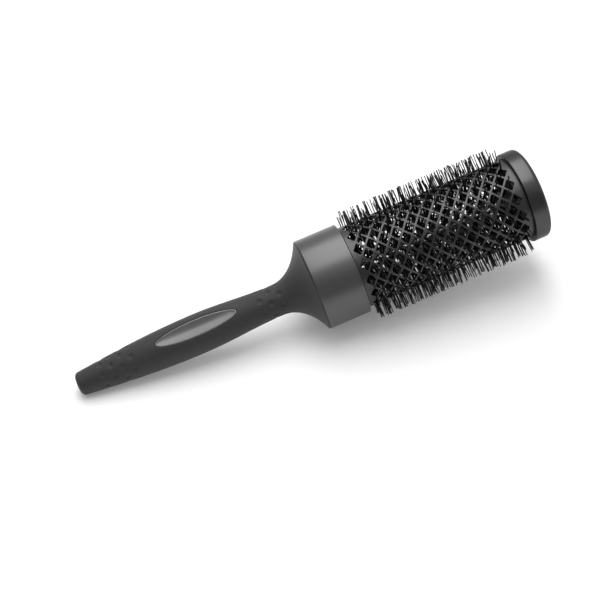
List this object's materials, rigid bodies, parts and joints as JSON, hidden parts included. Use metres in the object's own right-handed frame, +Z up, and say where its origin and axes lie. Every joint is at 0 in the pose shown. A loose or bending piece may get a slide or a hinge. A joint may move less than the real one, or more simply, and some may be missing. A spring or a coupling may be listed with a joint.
{
  "type": "round hair brush",
  "caption": "Round styling brush: dimpled soft-touch handle with a thumb inlay, satin collar and cap, and a perforated metal barrel with nylon bristles standing out through its diamond holes.",
  "frame": {"origin": "On the plane that the brush rests on, under the middle of its bounding box.", "axes": "+X runs from the butt of the handle towards the end cap, along the brush's length seen from above, and +Z is up. The brush's own axis rises 8.74 degrees from +X, as it lies on the butt and on the first bristles. It is turned 22.5 degrees about that axis, so that the thumb inlay looks up and towards -Y."},
  "size_m": [0.2506, 0.0584, 0.0702],
  "materials": {
    "grip_rubber": "matte soft-touch elastomer, charcoal",
    "core_plastic": "moulded black nylon",
    "inlay_plastic": "moulded grey, satin",
    "satin_lacquer": "satin dark metallic lacquer over moulded plastic",
    "barrel_alloy": "black coated, satin",
    "bristle_nylon": "drawn black nylon, glossy",
    "stem_steel": "drawn galvanised wire"
  },
  "bodies": {
    "root": {"handle_core": "core_plastic", "grip_sleeve": "grip_rubber", "thumb_inlay": "inlay_plastic", "collar": "satin_lacquer", "barrel": "barrel_alloy", "stem_wire_a": "stem_steel", "stem_wire_b": "stem_steel", "bristle_row_01": "bristle_nylon", "bristle_row_02": "bristle_nylon", "bristle_row_03": "bristle_nylon", "bristle_row_04": "bristle_nylon", "bristle_row_05": "bristle_nylon", "bristle_row_06": "bristle_nylon", "bristle_row_07": "bristle_nylon", "bristle_row_08": "bristle_nylon", "bristle_row_09": "bristle_nylon", "bristle_row_10": "bristle_nylon", "bristle_row_11": "bristle_nylon", "bristle_row_12": "bristle_nylon", "bristle_row_13": "bristle_nylon", "front_hub": "core_plastic", "stem_clip": "stem_steel", "end_cap": "satin_lacquer"}
  },
  "joints": []
}
